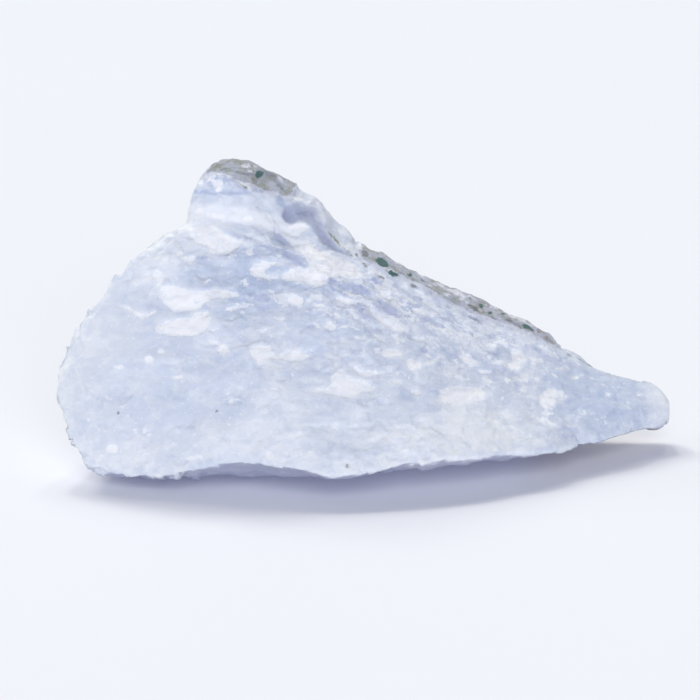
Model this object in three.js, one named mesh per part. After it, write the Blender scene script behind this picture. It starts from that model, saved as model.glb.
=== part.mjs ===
// A small rough of blue chalcedony: one broken piece of a vein, with the wall
// rock's thin rind still grown onto its back and along its upper edge. It is a
// single natural solid that stands on its worn underside.
//
// Millimetres, +Z up. +X runs along the stone to its thin tip, and -Y is the
// broad fracture face. The origin is under the middle of the stone, on the
// plane that it stands on.
import * as THREE from "three";
import { ConvexGeometry } from "three/addons/geometries/ConvexGeometry.js";
import { ImprovedNoise } from "three/addons/math/ImprovedNoise.js";
import { mergeVertices } from "three/addons/utils/BufferGeometryUtils.js";

// --- Driving dimensions ------------------------------------------------------

const facetSplits = 21; // an icosahedron's edge is cut into one more than this

// Corners of the broken block, as the fractures meet. Each is [x, y, z].
const bodyCorners = [
  // upper edge of the fracture face, from the blunt end to the tip
  [-31.3, -1, 9.8],
  [-30.6, 0.2, 12],
  [-29.3, 1, 14.5],
  [-26.7, 1.6, 17.4],
  [-23.8, 2.3, 19.9],
  [-21.6, 2.9, 22.2],
  [-19.5, 3.4, 23.3],
  [-16.5, 4, 23.9],
  [-9, 4.2, 23.6],
  [-1.7, 4.7, 20.9],
  [4.4, 5.6, 18],
  [14.1, 7.2, 13.4],
  [19, 8.2, 10.8],
  // back edge of the narrow top facet that carries the rind
  [-20, 9.8, 21.4],
  [-8, 11.6, 20.6],
  [0.8, 8.9, 20.3],
  [8.1, 10, 16],
  [17.6, 10.7, 11.9],
  [19.5, 10.3, 10.4],
  [24.7, 9.1, 7.1],
  [30.4, 7.1, 3.9],
  // lower edge of the fracture face, from the blunt end to the tip
  [-30.2, -3.2, 7.6],
  [-29, -5.9, 4.6],
  [-26.8, -7.3, 1.4],
  [-25, -7.9, 1.4],
  [-20.8, -9.2, 1.6],
  [-11, -11.2, 2.7],
  [-2.2, -12.2, 2.9],
  [7.5, -10.4, 3.5],
  [15.7, -6.8, 3.1],
  [19.8, -3.8, 2.8],
  [24.4, -0.2, 2.6],
  [30.6, 5.9, 2.7],
  // back of the block, where it bulges most
  [-27, 6.5, 10],
  [-21, 12, 11],
  [-8, 14.8, 10],
  [6, 14.1, 7.3],
  [18.2, 13.2, 5.4],
  [27.5, 10.6, 4.1],
  // lower back edge
  [-25.5, 8, 3.2],
  [-13, 13.4, 3],
  [4, 12.7, 2.6],
  [17.2, 11.3, 2.9],
];

// The underside's worn foot, a little below the standing plane that cuts it.
const footCorners = [
  [-22.5, -2, 0.1],
  [-22, 7.5, 0],
  [-9, 10.5, 0],
  [7, 9, 0],
  [8, 0.5, 0.1],
  [-9, -0.5, 0.15],
];

// The knob of banded layers that stands above the fracture face's upper edge.
const knobCorners = [
  [-17.4, 5.2, 22],
  [-17.2, 5.6, 25.6],
  [-16.5, 5.8, 27.4],
  [-15.5, 6.4, 29.1],
  [-14.5, 5.7, 28.8],
  [-11.6, 5.6, 27.7],
  [-8.5, 5.6, 25.9],
  [-3.2, 5.4, 22.4],
  [-14.6, 10.5, 29.6],
  [-12.7, 11.4, 29.9],
  [-10.2, 11.8, 29.4],
  [-7.3, 11.2, 27.8],
  [-4.4, 10.2, 24.3],
  [-1.3, 9.2, 21.4],
  [-16.4, 11, 26.4],
  [-15.5, 10.5, 13],
  [-8, 12.6, 12],
  [1, 10.6, 12],
  [-16.5, 2, 12],
  [0, 2, 12],
];

// The blunt tip, a splinter's end that lifts slightly off the body's line.
const tipCorners = [
  [26.6, 9.4, 6.9],
  [28.8, 9.4, 6.6],
  [30.5, 8.9, 6.5],
  [31.2, 7.9, 5.8],
  [31.3, 6.4, 2.7],
  [26.4, 1.7, 2.7],
  [28, 4.1, 5.1],
  [30.1, 9.9, 4],
  [30.3, 8.5, 2.6],
  [20.3, 10.4, 4.1],
  [20.3, -0.7, 4.3],
  [20.3, 9.2, 8.3],
];

// Hollows cut by balls, each with its centre and radius.
const scars = [
  // shallow shells left by old blows: blunt end, lower front edge, back, upper edge
  { centre: [-38.5, -9, 20], radius: 11.4 },
  { centre: [-34, 14, 14], radius: 11 },
  { centre: [12.1, -20, -2.6], radius: 12.3 },
  { centre: [-11.5, -24.9, -20.8], radius: 28.4 },
  { centre: [-20, 25, 24], radius: 13 },
  { centre: [22.4, 23.7, 12.8], radius: 13.5 },
  { centre: [9.3, 9.6, 24.5], radius: 8 },
  // the groove that runs down beside the knob
  { centre: [-7.2, 3.2, 24.9], radius: 2.6 },
  { centre: [-4.8, 3.4, 25.1], radius: 2.9 },
  { centre: [-2.7, 3.3, 23.4], radius: 2.5 },
  { centre: [-1, 3.3, 21.6], radius: 1.9 },
];

const edgeRounding = 0.25; // worn radius where two fractures meet
const jointRounding = 0.3; // fillet where the knob and tip grow out of the body
const chips = { count: 46, shallow: 0.1, deep: 0.7, seed: 4711 }; // broken-off corners
const undulation = [
  { wavelength: 9, rise: 0.42, shift: 17.3 },
  { wavelength: 4.2, rise: 0.26, shift: 34.6 },
  { wavelength: 2.3, rise: 0.15, shift: 51.9 },
];

// The surface is found along rays that leave a spine inside the stone.
const spineMiddle = new THREE.Vector3(-1.5, 1, 9);
const spineHalf = new THREE.Vector3(14.5, 1.5, -2.3); // from the middle towards the tip
const spineLift = new THREE.Vector3(-2, 4.5, 8.5); // where a ray straight up starts above it
const reach = 40; // longer than any ray inside the stone
const halvings = 24;
const slopeStep = 0.02; // half the span over which the surface's slope is taken
const crease = { reach: 0.7, pulls: 24 }; // a point this near a crease is pulled onto it
const standing = 0.004; // a point lower than this is on the standing plane

// --- Fracture planes ---------------------------------------------------------

const sameWay = 0.9999; // dot product of two normals that belong to one plane

// The planes of the smallest convex block around the corners, each counted once.
function planesAround(corners) {
  const points = corners.map((corner) => new THREE.Vector3(...corner));
  const position = new ConvexGeometry(points).getAttribute("position");
  const planes = [];
  for (let i = 0; i < position.count; i += 3) {
    const [a, b, c] = [0, 1, 2].map((k) => new THREE.Vector3().fromBufferAttribute(position, i + k));
    const plane = new THREE.Plane().setFromCoplanarPoints(a, b, c);
    const known = planes.some((other) => other.normal.dot(plane.normal) > sameWay);
    if (!known) planes.push(plane);
  }
  return planes;
}

// A fixed run of pseudo-random numbers from 0 to 1, so that every build is alike.
function makeDice(seed) {
  let state = seed;
  return () => {
    state = (state * 16807) % 2147483647;
    return state / 2147483647;
  };
}

// Planes that knock small pieces off a block's corners and edges.
function chipPlanes(corners, dice) {
  const planes = [];
  for (let i = 0; i < chips.count; i++) {
    const up = 2 * dice() - 1;
    const turn = 2 * Math.PI * dice();
    const across = Math.sqrt(1 - up * up);
    const normal = new THREE.Vector3(across * Math.cos(turn), across * Math.sin(turn), up);
    const furthest = Math.max(...corners.map((corner) => normal.dot(new THREE.Vector3(...corner))));
    const depth = THREE.MathUtils.lerp(chips.shallow, chips.deep, dice());
    planes.push(new THREE.Plane(normal, depth - furthest));
  }
  return planes;
}

// --- The stone as a field: negative inside, zero on the surface ----------------

function roundedMax(values, radius) {
  const top = Math.max(...values);
  const sum = values.reduce((total, value) => total + Math.exp((value - top) / radius), 0);
  return top + radius * Math.log(sum);
}

function roundedMin(values, radius) {
  return -roundedMax(values.map((value) => -value), radius);
}

function insideBlock(planes, point) {
  const worn = roundedMax(planes.map((plane) => plane.distanceToPoint(point)), edgeRounding);
  return worn - edgeRounding * Math.log(3); // so that three planes still meet near their corner
}

const grain = new ImprovedNoise();

function roughness(point) {
  return undulation.reduce((total, { wavelength, rise, shift }) => {
    const [x, y, z] = point.toArray().map((value) => value / wavelength + shift);
    return total + rise * grain.noise(x, y, z);
  }, 0);
}

const wholeBody = [...bodyCorners, ...footCorners];
const blocks = [
  [...planesAround(wholeBody), ...chipPlanes(wholeBody, makeDice(chips.seed))],
  planesAround(knobCorners),
  planesAround(tipCorners),
];
const balls = scars.map(({ centre, radius }) => new THREE.Sphere(new THREE.Vector3(...centre), radius));

function stone(point) {
  const joined = roundedMin(blocks.map((planes) => insideBlock(planes, point)), jointRounding);
  const outsideBalls = balls.map((ball) => -ball.distanceToPoint(point));
  return roundedMax([joined, ...outsideBalls], edgeRounding) + roughness(point);
}

// --- The solid ---------------------------------------------------------------

// The point where a ray from inside leaves the stone.
function surfaceAlong(start, direction) {
  let inside = 0;
  let outside = reach;
  for (let i = 0; i < halvings; i++) {
    const middle = (inside + outside) / 2;
    const point = start.clone().addScaledVector(direction, middle);
    if (stone(point) < 0) inside = middle;
    else outside = middle;
  }
  return start.clone().addScaledVector(direction, outside);
}

// The plane that the stone's surface lies along at a point.
function tangentPlane(point) {
  const slope = new THREE.Vector3();
  ["x", "y", "z"].forEach((axis) => {
    const ahead = point.clone();
    const behind = point.clone();
    ahead[axis] += slopeStep;
    behind[axis] -= slopeStep;
    slope[axis] = stone(ahead) - stone(behind);
  });
  return new THREE.Plane().setFromNormalAndCoplanarPoint(slope.normalize(), point);
}

// Rays land beside a sharp crease and leave it sawtoothed, so a point is pulled to
// where the planes around it meet, unless that is too far for it to be the nearest.
function creased(point, planes) {
  const moved = point.clone();
  for (let i = 0; i < crease.pulls; i++) {
    const pull = new THREE.Vector3();
    planes.forEach((plane) => pull.addScaledVector(plane.normal, -plane.distanceToPoint(moved)));
    moved.addScaledVector(pull, 1 / planes.length);
  }
  return moved.distanceTo(point) < crease.reach ? moved : point;
}

// For each point of a mesh, the set of the points that share a triangle with it.
function neighboursOf(geometry) {
  const neighbours = Array.from({ length: geometry.getAttribute("position").count }, () => new Set());
  const corners = geometry.getIndex().array;
  for (let i = 0; i < corners.length; i += 3) {
    const [a, b, c] = corners.slice(i, i + 3);
    neighbours[a].add(b).add(c);
    neighbours[b].add(c).add(a);
    neighbours[c].add(a).add(b);
  }
  return neighbours;
}

function stoneGeometry() {
  const ball = new THREE.IcosahedronGeometry(1, facetSplits);
  ball.deleteAttribute("normal");
  ball.deleteAttribute("uv");
  const geometry = mergeVertices(ball, 1e-5);
  const position = geometry.getAttribute("position");

  const landed = [];
  for (let i = 0; i < position.count; i++) {
    const direction = new THREE.Vector3().fromBufferAttribute(position, i);
    const start = spineMiddle.clone().addScaledVector(spineHalf, direction.x);
    start.addScaledVector(spineLift, Math.max(direction.z, 0) ** 2);
    landed.push(surfaceAlong(start, direction));
  }

  const planes = landed.map(tangentPlane);
  neighboursOf(geometry).forEach((around, i) => {
    const { x, y, z } = creased(landed[i], [planes[i], ...[...around].map((j) => planes[j])]);
    position.setXYZ(i, x, y, z < standing ? 0 : z); // worn flat where the stone stands
  });

  geometry.computeBoundingBox();
  const middle = geometry.boundingBox.getCenter(new THREE.Vector3());
  geometry.translate(-middle.x, -middle.y, 0);
  geometry.computeVertexNormals();
  return geometry;
}

const chalcedony = new THREE.Mesh(
  stoneGeometry(),
  new THREE.MeshStandardMaterial({ color: 0xc8d2e6, roughness: 0.6, metalness: 0 }),
);
chalcedony.name = "chalcedony";

const group = new THREE.Group();
group.name = "rough_chalcedony";
group.add(chalcedony);

export default group;
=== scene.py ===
import math

import bmesh
import bpy
import numpy as np
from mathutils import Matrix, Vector


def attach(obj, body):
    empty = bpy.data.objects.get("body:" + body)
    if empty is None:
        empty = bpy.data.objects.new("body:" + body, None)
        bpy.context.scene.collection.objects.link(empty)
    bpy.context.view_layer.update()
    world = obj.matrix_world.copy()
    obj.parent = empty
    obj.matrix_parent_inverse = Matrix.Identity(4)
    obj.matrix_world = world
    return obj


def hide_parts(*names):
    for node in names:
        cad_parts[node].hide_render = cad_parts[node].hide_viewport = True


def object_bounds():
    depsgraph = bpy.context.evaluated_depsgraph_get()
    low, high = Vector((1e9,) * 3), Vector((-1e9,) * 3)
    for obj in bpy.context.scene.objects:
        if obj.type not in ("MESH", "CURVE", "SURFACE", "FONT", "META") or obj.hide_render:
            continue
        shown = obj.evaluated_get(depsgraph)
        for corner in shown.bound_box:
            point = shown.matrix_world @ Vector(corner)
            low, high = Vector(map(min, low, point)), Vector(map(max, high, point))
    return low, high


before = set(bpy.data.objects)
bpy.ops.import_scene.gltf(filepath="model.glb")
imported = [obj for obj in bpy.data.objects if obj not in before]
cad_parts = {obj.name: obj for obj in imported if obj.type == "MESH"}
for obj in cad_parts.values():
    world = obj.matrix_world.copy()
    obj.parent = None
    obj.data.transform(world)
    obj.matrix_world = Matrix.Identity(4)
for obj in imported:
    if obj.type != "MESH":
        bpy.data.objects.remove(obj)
cadLow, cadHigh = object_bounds()

mm = 0.001
scene = bpy.context.scene


# small helpers

def newObject(name, data):
    made = bpy.data.objects.new(name, data)
    scene.collection.objects.link(made)
    return made


def setInput(tree, node, key, value):  # a link, or a plain value
    if isinstance(value, bpy.types.NodeSocket):
        tree.links.new(value, node.inputs[key])
    else:
        node.inputs[key].default_value = value


def addNode(tree, kind, inputs=None, **settings):
    node = tree.nodes.new(kind)
    for name, value in settings.items():
        setattr(node, name, value)
    for key, value in (inputs or {}).items():
        setInput(tree, node, key, value)
    return node


def calc(tree, operation, *values, clamp=False):
    node = addNode(tree, "ShaderNodeMath", dict(enumerate(values)), operation=operation, use_clamp=clamp)
    return node.outputs[0]


def total(tree, *values):
    result = values[0]
    for value in values[1:]:
        result = calc(tree, "ADD", result, value)
    return result


def product(tree, *values):
    result = values[0]
    for value in values[1:]:
        result = calc(tree, "MULTIPLY", result, value)
    return result


def less(tree, value, taken):
    return calc(tree, "SUBTRACT", value, taken)


def vec(tree, operation, *values, scale=None):
    node = addNode(tree, "ShaderNodeVectorMath", dict(enumerate(values)), operation=operation)
    if scale is not None:
        setInput(tree, node, "Scale", scale)
    return node.outputs["Value" if operation in ("DOT_PRODUCT", "DISTANCE") else "Vector"]


def split(tree, vector):
    return addNode(tree, "ShaderNodeSeparateXYZ", {0: vector}).outputs


def combine(tree, x=0.0, y=0.0, z=0.0):
    return addNode(tree, "ShaderNodeCombineXYZ", {0: x, 1: y, 2: z}).outputs[0]


def ramp(tree, value, start, end, low=0.0, high=1.0):  # smooth step from start to end
    node = addNode(
        tree,
        "ShaderNodeMapRange",
        {"Value": value, "From Min": start, "From Max": end, "To Min": low, "To Max": high},
        interpolation_type="SMOOTHSTEP",
    )
    return node.outputs["Result"]


def noise(tree, place, scale, detail=2.0, rough=0.5, colour=False):
    node = addNode(
        tree,
        "ShaderNodeTexNoise",
        {"Vector": place, "Scale": scale, "Detail": detail, "Roughness": rough},
        noise_dimensions="3D",
    )
    return node.outputs["Color" if colour else "Fac"]


def jitter(tree, place, scale, detail, rough=0.5):  # noise as a vector about zero
    return vec(tree, "SUBTRACT", noise(tree, place, scale, detail, rough, colour=True), (0.5, 0.5, 0.5))


def warp(tree, place, scale, detail, amount):
    return vec(tree, "ADD", place, vec(tree, "SCALE", jitter(tree, place, scale, detail), scale=amount))


def blend(tree, factor, a, b):  # colour mix
    return addNode(tree, "ShaderNodeMix", {0: factor, 6: a, 7: b}, data_type="RGBA").outputs[2]


def tint(red, green, blue):  # screen colour, 0 to 255, as a linear one
    def linear(c):
        c /= 255
        return c / 12.92 if c <= 0.04045 else ((c + 0.055) / 1.055) ** 2.4

    return (linear(red), linear(green), linear(blue), 1.0)


# camera

camera = {
    "place": Vector((-1.776, -288.347, 99.9)) * mm,
    "aim": Vector((-1.776, -1.472, 12.2)) * mm,
    "lens": 154.29,
    "sensor": 36.0,
    "clip": (0.01, 10),  # m
}
cameraData = bpy.data.cameras.new("camera")
cameraData.lens = camera["lens"]
cameraData.sensor_width = camera["sensor"]
cameraData.clip_start, cameraData.clip_end = camera["clip"]
cameraObject = newObject("camera", cameraData)
cameraObject.location = camera["place"]
cameraObject.rotation_mode = "QUATERNION"
cameraObject.rotation_quaternion = (camera["aim"] - camera["place"]).to_track_quat("-Z", "Y")
scene.camera = cameraObject
print("camera set")


# stone

stone = {
    "voxel": 0.238,  # mm, edge of the fine mesh
    "wear": (27.2, 28.6, 36),  # mm of height over which the knob's top gets worn round, and passes
    "swells": (  # mm: place, reach, height
        ((30.0, 5.6, 2.3), 3.6, 0.75),  # lower corner of the tip
        ((-2.0, 7.9, 21.3), 2.5, 0.75),  # foot of the knob
        ((-4.3, 8.6, 24.4), 2.8, 0.4),  # back of the knob
    ),
    "facets": ((2.6, 0.15, 0.055), (1.25, 0.09, 0.03), (0.62, 0.05, 0.02)),  # mm: size, tilt, step
    "splinters": (0.8, 0.16, 0.09),  # the same for the splinters
    "scallops": (1.7, 0.4, 0.22),  # and along the left edge
    "splinterFall": 27,  # degrees that the splinters fall towards the tip
    "splinterStretch": 0.3,
    "warp": (0.8, 2, 0.8),  # waves in a mm, detail, and mm that the facets' edges wander
    "calming": 0.7,  # share of the relief that goes where the break is smooth
    "flakeRim": (0.14, -0.12),  # mm from the outline, over which a flake's bed drops
    "flakeRagged": 0.35,  # mm
    "grooveRim": (0.25, -0.55),
    "grooveRagged": 0.15,
    "footing": (0.02, 0.5),  # mm of height over which the relief sets in
    "rimTurn": (0.45, 0.25),  # how much the left edge may face the first view, and the fade
    "rimPlace": (-13.0, 3.0),  # mm across where it ends, and the fade
    "rimTop": (22.0, 2.0),  # mm of height where it ends, and the fade
    "knobSide": (-6.45, 1.2),  # mm in x where the knob's layers end, and the fade
    "inputs": {  # of the surface's node tree
        "Relief": 1.0,
        "Rind Relief": 1.0,
        "Flake Depth": 0.12,  # mm
        "Groove Depth": 0.45,  # mm, past what the blank has
        "Seed Shift": 7.0,
    },
    "rind": {
        "edge": (4.55, 12.35, 3.4),  # mm in y: on the knob, past the groove, along the slope
        "gap": (-8.15, -6.25, -1.15, -0.45),  # mm in x: where the edge steps back, and returns
        "gapSides": (24.5, 22.0, 1.6),  # mm of height over which they start to wander, and how far
        "gapFoot": (20.5, 18.0, 14.5, 6.0),  # mm of height where the gap closes; its y, and its fall there
        "drift": (-13.25, -7.25, 1.5),  # mm: from x, to x, how far the edge drifts back there
        "bend": 0.169,  # how far the slope turns back for each mm towards the tip
        "turn": (0.42, 0.62, 6.0),  # how far its faces may look forward and left; how fast it ends there
        "left": (24.5, 2.0),  # mm: its left end, and how far that wanders
        "tip": 19.2,  # mm in x, where it runs out towards the tip
        "tipSpread": (6.0, 1.5),  # past this y it reaches further, by this much for each mm
        "bottom": (2.6, 1.5),  # mm of height, and how far that wanders
        "wander": 0.35,  # waves in a mm
        "spalls": (0.15, 0.64, 0.66),  # bare spots behind: waves in a mm, and the noise that bares them
        "spallsBehind": (6.5, 8.0),  # mm in y
        "lumps": (0.55, 0.7),  # waves in a mm, and height in mm
        "knots": (0.75, 0.35),
        "sink": (-6.0, 2.0, 0.12, -0.05),  # mm in x, from and to, and how far it sinks there
        "step": (0.3, 6.0, 7.5),  # mm down where it is missing on the back; mm in y over which that starts
    },
}

# Flake scars of the fracture face, laid out on a plane square to the first view:
# the outlines of the larger ones, in mm across and up from its middle.
flakeOutlines = [
    # shoulder below the knob
    [(-16.6, 12.1), (-16.3, 12.5), (-14.9, 12.8), (-13.5, 12.4), (-12.6, 11.8), (-11.8, 11.2),
     (-10.7, 10.9), (-11.0, 10.4), (-11.7, 9.8), (-12.8, 9.6), (-13.8, 9.7), (-14.2, 10.4), (-15.1, 10.6),
     (-15.8, 11.1)],
    [(-17.6, 9.9), (-17.1, 9.9), (-16.3, 9.4), (-15.2, 9.5), (-14.9, 9.7), (-15.4, 9.2), (-15.7, 8.7),
     (-16.0, 8.5), (-16.7, 9.0), (-17.2, 9.4)],
    # down the left of the face
    [(-19.8, 7.8), (-19.3, 8.1), (-18.9, 7.9), (-18.5, 7.4), (-18.6, 7.0), (-18.9, 6.2), (-19.4, 6.3),
     (-19.2, 6.9), (-19.6, 7.2)],
    [(-19.2, 5.4), (-18.9, 6.2), (-18.1, 6.5), (-17.2, 6.4), (-16.3, 6.0), (-15.2, 5.9), (-13.5, 6.2),
     (-12.2, 6.1), (-11.5, 5.8), (-11.0, 5.4), (-12.2, 5.2), (-13.5, 5.2), (-14.5, 4.8), (-15.2, 4.1),
     (-16.3, 3.8), (-17.5, 3.7), (-18.1, 4.1), (-18.6, 4.7)],
    [(-19.6, 2.3), (-19.2, 2.7), (-17.9, 3.0), (-16.8, 3.2), (-15.8, 3.4), (-15.4, 3.9), (-14.4, 3.9),
     (-13.9, 3.4), (-14.0, 2.8), (-14.6, 1.9), (-15.2, 1.5), (-16.8, 1.4), (-18.1, 1.4), (-19.0, 1.6)],
    [(-22.9, 4.2), (-22.4, 4.5), (-21.8, 4.1), (-21.1, 3.7), (-20.2, 3.6), (-19.5, 4.0), (-19.3, 3.9),
     (-20.0, 3.3), (-20.9, 3.1), (-21.4, 3.2), (-21.8, 3.8)],
    # below the groove
    [(-6.3, 11.9), (-5.5, 12.4), (-4.6, 12.7), (-3.7, 12.4), (-4.6, 11.9), (-5.3, 11.3), (-6.0, 11.2)],
    [(-6.1, 11.0), (-4.2, 11.1), (-3.0, 10.2), (-1.9, 9.7), (-0.5, 9.0), (0.7, 8.2), (1.9, 7.6), (0.7, 7.4),
     (-0.9, 7.4), (-2.0, 7.1), (-2.4, 6.6), (-3.4, 6.3), (-4.8, 6.8), (-6.0, 7.0), (-6.8, 7.2), (-6.6, 7.8),
     (-5.5, 8.1), (-4.3, 8.3), (-4.2, 8.8), (-4.6, 9.5), (-5.5, 10.0)],
    [(-10.0, 8.1), (-9.7, 8.7), (-8.9, 8.9), (-8.2, 8.8), (-6.7, 8.9), (-6.6, 8.5), (-7.8, 8.4),
     (-8.5, 8.1), (-8.4, 7.6), (-7.4, 7.4), (-7.0, 7.1), (-8.0, 7.0), (-8.9, 7.2), (-9.6, 7.4)],
    [(-6.3, 4.8), (-6.0, 5.4), (-5.3, 5.5), (-4.6, 5.1), (-4.5, 4.8), (-5.0, 4.4), (-5.9, 4.5)],
    [(-2.6, 2.2), (-2.0, 2.9), (-1.6, 2.6), (-1.3, 2.2), (-1.8, 1.9)],
    # across the middle
    [(-10.0, -0.1), (-9.7, 0.4), (-8.9, 0.5), (-8.0, 0.4), (-7.8, -0.2), (-6.9, -0.4), (-5.7, -0.1),
     (-4.6, -0.3), (-3.9, -0.7), (-4.8, -1.1), (-6.0, -1.2), (-7.1, -0.9), (-8.0, -0.8), (-8.6, -1.4),
     (-9.2, -1.4), (-9.7, -0.7)],
    [(-4.3, -4.1), (-3.4, -3.8), (-2.3, -3.9), (-1.9, -3.3), (-2.0, -2.9), (-1.4, -2.1), (-0.7, -1.9),
     (-0.2, -2.6), (0.5, -3.0), (1.4, -3.1), (2.6, -3.7), (2.3, -4.1), (1.1, -4.2), (0.5, -4.7),
     (-0.9, -4.7), (-1.8, -4.4), (-3.0, -4.3)],
    [(0.1, -1.5), (0.7, -1.6), (1.1, -2.0), (2.4, -2.1), (3.6, -2.1), (4.4, -1.9), (4.2, -2.3), (3.1, -2.4),
     (2.3, -2.5), (1.5, -2.8), (1.0, -2.6), (0.5, -2.1)],
    [(3.1, -0.2), (3.6, 0.1), (4.7, 0.1), (5.6, -0.1), (5.2, -0.4), (4.3, -0.6), (3.4, -0.6)],
    [(5.5, -1.4), (5.7, -0.9), (6.4, -0.8), (7.0, -1.0), (7.3, -1.4), (6.9, -1.8), (6.1, -1.9)],
    [(7.6, -1.1), (8.1, -0.8), (8.9, -0.5), (9.3, -0.6), (8.7, -1.2), (7.9, -1.4)],
    [(5.9, -4.0), (6.6, -3.8), (7.2, -4.2), (7.1, -4.6), (6.6, -4.5), (6.1, -4.3)],
    # towards the tip
    [(8.7, -5.1), (9.2, -4.0), (9.9, -3.7), (10.7, -3.5), (11.8, -3.6), (13.2, -3.7), (13.6, -4.2),
     (13.5, -4.8), (12.7, -5.1), (11.8, -5.2), (11.0, -5.5), (10.3, -5.4), (9.4, -5.3)],
    [(10.9, -0.7), (11.4, -0.2), (11.9, -0.4), (12.6, -1.1), (12.0, -1.3), (11.4, -1.2)],
    [(15.7, -1.5), (15.9, -1.1), (16.3, -0.9), (16.1, -0.2), (16.5, 0.2), (17.2, -0.2), (17.6, -0.7),
     (17.4, -1.4), (16.8, -1.9), (16.1, -2.0)],
    [(16.9, -2.6), (17.4, -2.3), (18.2, -2.1), (18.2, -2.4), (17.8, -2.8), (17.3, -2.9)],
    [(18.9, -5.1), (19.1, -4.5), (19.5, -3.9), (19.8, -3.6), (20.3, -3.8), (21.2, -4.0), (21.8, -4.6),
     (21.4, -5.1), (20.6, -5.3), (20.0, -5.8), (19.3, -5.7)],
    # splinters beside the ridge
    [(-1.5, 5.5), (-0.7, 5.3), (0.4, 4.9), (0.3, 4.6), (-0.7, 4.8), (-1.4, 5.1)],
    [(1.3, 4.9), (2.1, 4.5), (2.7, 3.8), (3.8, 3.0), (4.9, 2.5), (5.7, 1.9), (5.1, 1.7), (4.0, 2.1),
     (3.1, 2.6), (2.5, 3.3), (1.9, 4.1)],
    [(2.8, 6.0), (3.8, 5.6), (4.7, 5.4), (5.0, 5.1), (4.2, 5.1), (3.3, 5.3)],
]

# The smaller ones: mm across and up, half length, half height, and lean in degrees.
flakeScars = [
    (-13.8, 2.0, 0.3, 0.2, 0),
    (-11.7, 4.2, 0.8, 0.2, 8),
    (-8.7, 2.0, 0.4, 0.2, 20),
    (-7.0, 3.1, 0.5, 0.18, -10),
    (-3.0, 4.4, 0.5, 0.2, -20),
    (-1.2, 3.4, 0.6, 0.18, -25),
    (1.0, 1.2, 0.5, 0.2, -10),
    (3.0, 1.2, 0.7, 0.2, -25),
    (6.9, 3.9, 0.9, 0.2, -30),
    (8.3, 4.4, 1.0, 0.16, -24),
    (8.8, 2.2, 0.8, 0.2, -20),
    (7.0, 1.2, 0.7, 0.18, -15),
    (10.6, 1.6, 0.9, 0.16, -18),
    (12.9, 2.2, 1.0, 0.14, -25),
    (14.0, 0.6, 0.8, 0.16, -20),
    (9.9, -2.4, 0.5, 0.2, 0),
    (13.4, -2.2, 0.6, 0.18, -10),
    (4.6, -3.2, 0.4, 0.25, 0),
    (20.7, -1.8, 0.9, 0.1, -6),
    (22.4, -2.7, 0.2, 0.12, 0),
    (25.7, -4.4, 0.2, 0.14, 30),
    (14.8, -6.4, 0.5, 0.2, 0),
    (16.9, -8.6, 0.7, 0.2, 12),
    (-20.1, -1.0, 0.3, 0.35, 0),
    (-12.7, 0.0, 0.5, 0.5, -30),
    (-13.6, 0.7, 0.5, 0.18, -5),
    (-17.3, -2.7, 0.5, 0.2, -5),
    (-18.9, -0.2, 0.4, 0.2, 10),
    (-11.8, -5.1, 0.3, 0.3, 0),
    (-15.6, -10.8, 0.9, 0.25, 4),
    (-7.9, -10.5, 0.4, 0.5, 0),
    (-23.8, -9.9, 0.6, 0.5, 0),
]

# The shaded groove between the knob and the slope, laid out the same way.
grooveOutlines = [
    [(-6.6, 14.2), (-6.0, 14.6), (-5.2, 14.8), (-4.4, 14.6), (-3.6, 14.4), (-3.1, 14.1), (-2.9, 13.5),
     (-2.6, 12.8), (-2.4, 12.0), (-1.8, 11.2), (-1.1, 10.5), (-0.4, 9.9), (0.2, 9.4), (-0.5, 9.6),
     (-1.5, 9.9), (-2.3, 10.4), (-3.0, 11.1), (-3.5, 11.8), (-4.0, 12.5), (-4.6, 12.9), (-5.3, 12.9),
     (-5.9, 12.6), (-6.4, 12.8), (-6.7, 13.4)],
]

# Wide changes of tone, laid out on the same plane; the last number is how pale
# (+) or how blue (-) the stone turns there.
toneAreas = [
    (23.5, -3.2, 6.0, 4.0, -18, -0.3),
    (-8.5, 6.5, 7.5, 3.6, -10, -1.0),
    (25.0, -4.8, 4.6, 3.0, -15, -1.0),
    (11.0, 0.5, 9.0, 4.5, -24, -0.3),
    (-27.0, -2.0, 4.5, 12.0, -14, 0.45),
    (-10.0, -10.5, 17.0, 3.4, 0, 0.4),
    (-21.0, -1.5, 5.0, 8.0, -14, -0.2),
    (11.5, -8.3, 7.5, 2.8, 9, 1.0),
    (31.0, -4.6, 2.0, 2.4, 0, 0.8),
    (-19.5, 10.0, 3.6, 3.4, 42, 0.5),
    (-14.0, 11.0, 4.2, 2.0, -6, 0.3),
]

# Where the small flecks and the splinters are thick on the ground.
fleckAreas = [
    (6.0, 3.0, 15.0, 5.5, -22, 1.0),
    (-4.0, 5.0, 9.0, 5.0, -5, 0.6),
    (18.0, -3.0, 8.0, 4.0, -12, 0.6),
    (10.0, -8.0, 9.0, 3.0, 8, 0.35),
]
splinterAreas = [
    (6.5, 4.5, 12.5, 3.0, -27, 1.0),
    (-5.5, 9.0, 4.0, 2.5, -30, 0.8),
    (0.0, 6.0, 5.0, 2.5, -25, 0.7),
]

# Where the break is smooth, and the texture quiet.
calmAreas = [
    (-18.0, -4.0, 14.0, 9.0, 0, 0.5),
    (25.5, -5.0, 6.0, 3.4, -14, 0.85),
    (-22.0, 2.0, 5.0, 8.0, -20, 0.5),
    (-12.0, -8.0, 14.0, 3.4, 0, 0.4),
    (6.0, -5.5, 11.0, 4.0, 4, 0.35),
]

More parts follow.
